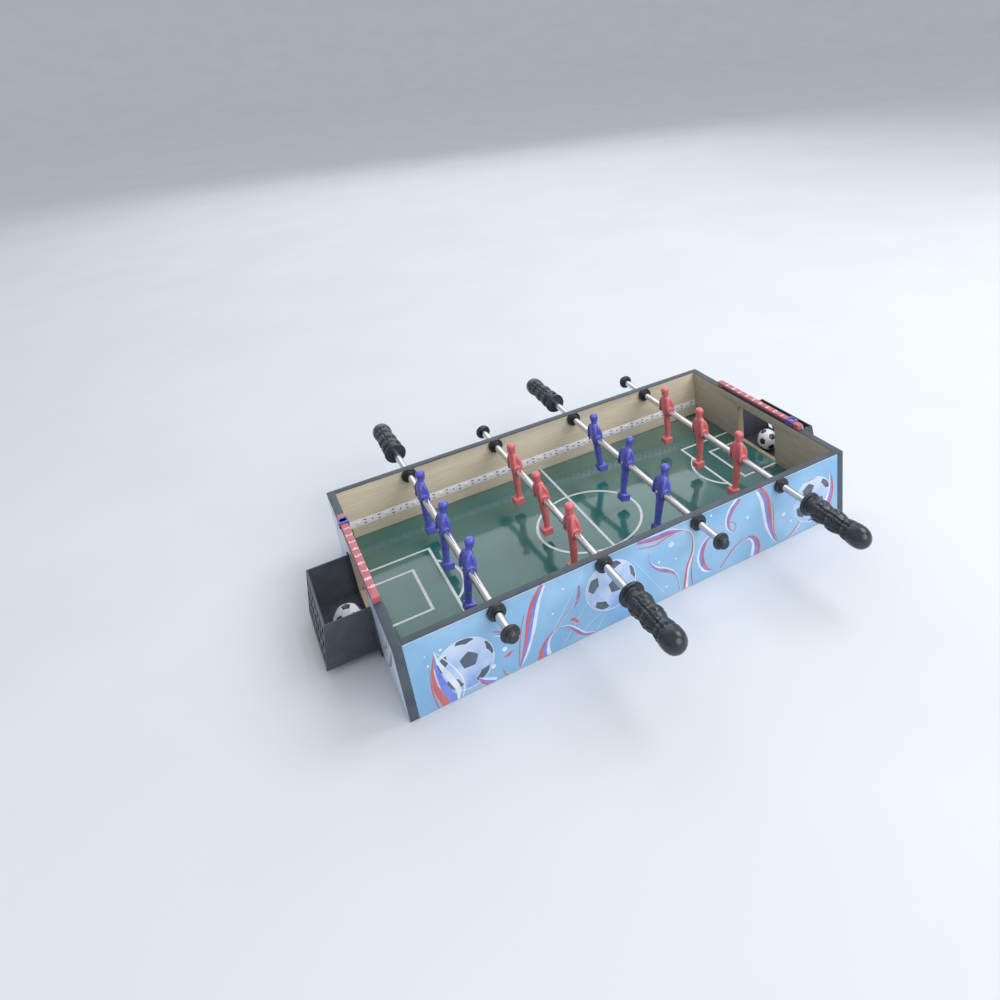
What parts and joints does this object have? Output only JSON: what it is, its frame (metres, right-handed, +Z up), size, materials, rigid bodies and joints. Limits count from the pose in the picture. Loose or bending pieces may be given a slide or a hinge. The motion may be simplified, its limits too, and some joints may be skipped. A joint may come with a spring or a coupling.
{
  "type": "tabletop foosball",
  "caption": "Small table football game: open board cabinet, sliding and spinning rods with moulded men and grips, end goal boxes, rail scorers and an inner light strip.",
  "frame": {"origin": "middle of the outline at the level of the surface the cabinet stands on", "axes": "+X along the pitch towards the right goal, +Y from the front long side to the rear, +Z up"},
  "size_m": [0.612, 0.577, 0.1077],
  "materials": {
    "printed_board": "fibreboard with a sky-blue printed film outside and a pale wood-grain film inside",
    "edge_band": "satin charcoal edge band",
    "pitch": "glossy green printed film on fibreboard",
    "steel": "bright plated steel tube",
    "bushing": "black moulded nylon",
    "grip": "black soft-touch moulded grip",
    "blue_plastic": "glossy blue moulding",
    "red_plastic": "glossy coral red moulding",
    "goal": "black moulding with a fine grain",
    "ball": "white with black pentagons",
    "strip": "white flexible circuit board with yellow light chips",
    "box": "black moulded battery box",
    "switch": "white switch rider",
    "cell": "wrapped cylindrical cell",
    "lead": "white sheathed wire"
  },
  "bodies": {
    "cabinet": {"front_panel": "printed_board", "rear_panel": "printed_board", "left_end_panel": "printed_board", "right_end_panel": "printed_board", "playfield": "pitch", "front_edge_band": "edge_band", "rear_edge_band": "edge_band", "left_edge_band": "edge_band", "right_edge_band": "edge_band", "front_bushing_1": "bushing", "rear_bushing_1": "bushing", "front_bushing_2": "bushing", "rear_bushing_2": "bushing", "front_bushing_3": "bushing", "rear_bushing_3": "bushing", "front_bushing_4": "bushing", "rear_bushing_4": "bushing", "left_score_bar": "red_plastic", "left_goal_box": "goal", "right_score_bar": "red_plastic", "right_goal_box": "goal", "led_strip": "strip", "battery_box": "box", "battery_1": "cell", "battery_2": "cell", "battery_3": "cell", "led_lead": "lead"},
    "rod_1_carriage": {"end_cap_1": "grip"},
    "rod_1_spinner": {"rod_1": "steel", "blue_man_1a": "blue_plastic", "blue_man_1b": "blue_plastic", "blue_man_1c": "blue_plastic", "handle_1": "grip"},
    "rod_2_carriage": {"end_cap_2": "grip"},
    "rod_2_spinner": {"rod_2": "steel", "red_man_2a": "red_plastic", "red_man_2b": "red_plastic", "red_man_2c": "red_plastic", "handle_2": "grip"},
    "rod_3_carriage": {"end_cap_3": "grip"},
    "rod_3_spinner": {"rod_3": "steel", "blue_man_3a": "blue_plastic", "blue_man_3b": "blue_plastic", "blue_man_3c": "blue_plastic", "handle_3": "grip"},
    "rod_4_carriage": {"end_cap_4": "grip"},
    "rod_4_spinner": {"rod_4": "steel", "red_man_4a": "red_plastic", "red_man_4b": "red_plastic", "red_man_4c": "red_plastic", "handle_4": "grip"},
    "left_score_rider": {"left_score_slider": "blue_plastic"},
    "left_loose_ball": {"left_ball": "ball"},
    "right_score_rider": {"right_score_slider": "blue_plastic"},
    "right_loose_ball": {"right_ball": "ball"},
    "battery_cover": {"battery_door": "box"},
    "light_switch": {"switch_slider": "switch"}
  },
  "joints": [
    {"name": "rod_1_slide", "type": "slide", "parent": "cabinet", "child": "rod_1_carriage", "axis": [0, 1, 0], "range_m": [-0.052, 0.025]},
    {"name": "rod_1_spin", "type": "hinge", "parent": "rod_1_carriage", "child": "rod_1_spinner", "pos_m": [-0.1635, 0.0045, 0.0745], "axis": [0, 1, 0], "continuous": true},
    {"name": "rod_2_slide", "type": "slide", "parent": "cabinet", "child": "rod_2_carriage", "axis": [0, -1, 0], "range_m": [-0.046, 0.031]},
    {"name": "rod_2_spin", "type": "hinge", "parent": "rod_2_carriage", "child": "rod_2_spinner", "pos_m": [-0.0545, -0.0045, 0.0745], "axis": [0, 1, 0], "continuous": true},
    {"name": "rod_3_slide", "type": "slide", "parent": "cabinet", "child": "rod_3_carriage", "axis": [0, 1, 0], "range_m": [-0.046, 0.031]},
    {"name": "rod_3_spin", "type": "hinge", "parent": "rod_3_carriage", "child": "rod_3_spinner", "pos_m": [0.0545, -0.0015, 0.0745], "axis": [0, 1, 0], "continuous": true},
    {"name": "rod_4_slide", "type": "slide", "parent": "cabinet", "child": "rod_4_carriage", "axis": [0, -1, 0], "range_m": [-0.038, 0.039]},
    {"name": "rod_4_spin", "type": "hinge", "parent": "rod_4_carriage", "child": "rod_4_spinner", "pos_m": [0.1635, 0.0035, 0.0745], "axis": [0, 1, 0], "continuous": true},
    {"name": "left_score_slide", "type": "slide", "parent": "cabinet", "child": "left_score_rider", "axis": [0, -1, 0], "range_m": [0, 0.132]},
    {"name": "left_ball_lift", "type": "slide", "parent": "cabinet", "child": "left_loose_ball", "axis": [0, 0, 1], "range_m": [0, 0.055]},
    {"name": "right_score_slide", "type": "slide", "parent": "cabinet", "child": "right_score_rider", "axis": [0, 1, 0], "range_m": [0, 0.132]},
    {"name": "right_ball_lift", "type": "slide", "parent": "cabinet", "child": "right_loose_ball", "axis": [0, 0, 1], "range_m": [0, 0.055]},
    {"name": "battery_door_slide", "type": "slide", "parent": "cabinet", "child": "battery_cover", "axis": [-1, 0, 0], "range_m": [0, 0.016]},
    {"name": "switch_slide", "type": "slide", "parent": "cabinet", "child": "light_switch", "axis": [0, 1, 0], "range_m": [0, 0.005]}
  ]
}
